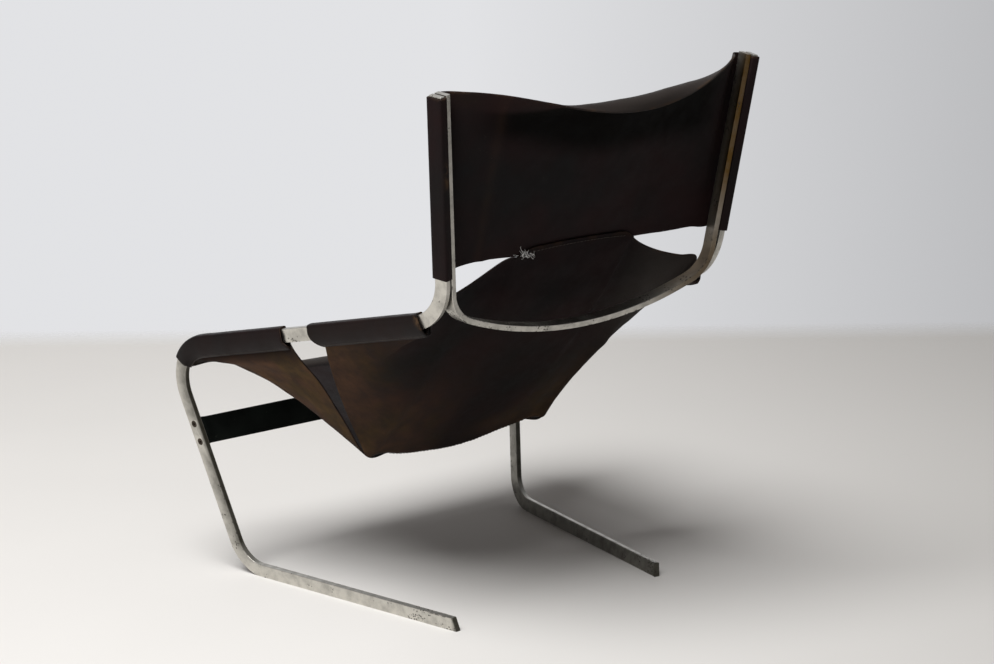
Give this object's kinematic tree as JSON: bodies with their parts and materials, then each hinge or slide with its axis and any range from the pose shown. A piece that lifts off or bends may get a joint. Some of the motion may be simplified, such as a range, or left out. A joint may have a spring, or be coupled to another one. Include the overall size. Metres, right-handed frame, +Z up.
{
  "type": "cantilever lounge chair",
  "caption": "Low lounge chair: bent flat-bar side frames that touch the floor on rear-facing runners, a back bow, a front crossbar and a sling of thick dark hide.",
  "frame": {"origin": "on the floor, under the centre of the chair's bounding box", "axes": "+Z up; the sitter faces -Y, so the back posts are towards +Y; +X is the sitter's left"},
  "size_m": [0.7924, 0.8194, 0.9497],
  "materials": {
    "frame_steel": "satin, lightly pitted bare steel",
    "black_steel": "worn satin black",
    "dark_screw": "blackened steel gone brown",
    "hide": "worn charcoal saddle hide with a soft sheen",
    "thread": "waxed dark linen thread"
  },
  "bodies": {
    "root": {"left_side_frame": "frame_steel", "right_side_frame": "frame_steel", "front_crossbar": "black_steel", "back_bow": "frame_steel", "left_crossbar_screws": "dark_screw", "right_crossbar_screws": "dark_screw", "left_bow_screws": "dark_screw", "right_bow_screws": "dark_screw", "front_seat_sheet": "hide", "rear_seat_sheet": "hide", "back_sheet": "hide", "crease_thread": "thread", "tongue_thread": "thread", "left_front_sleeve_thread": "thread", "right_front_sleeve_thread": "thread", "left_rear_sleeve_thread": "thread", "right_rear_sleeve_thread": "thread"}
  },
  "joints": []
}
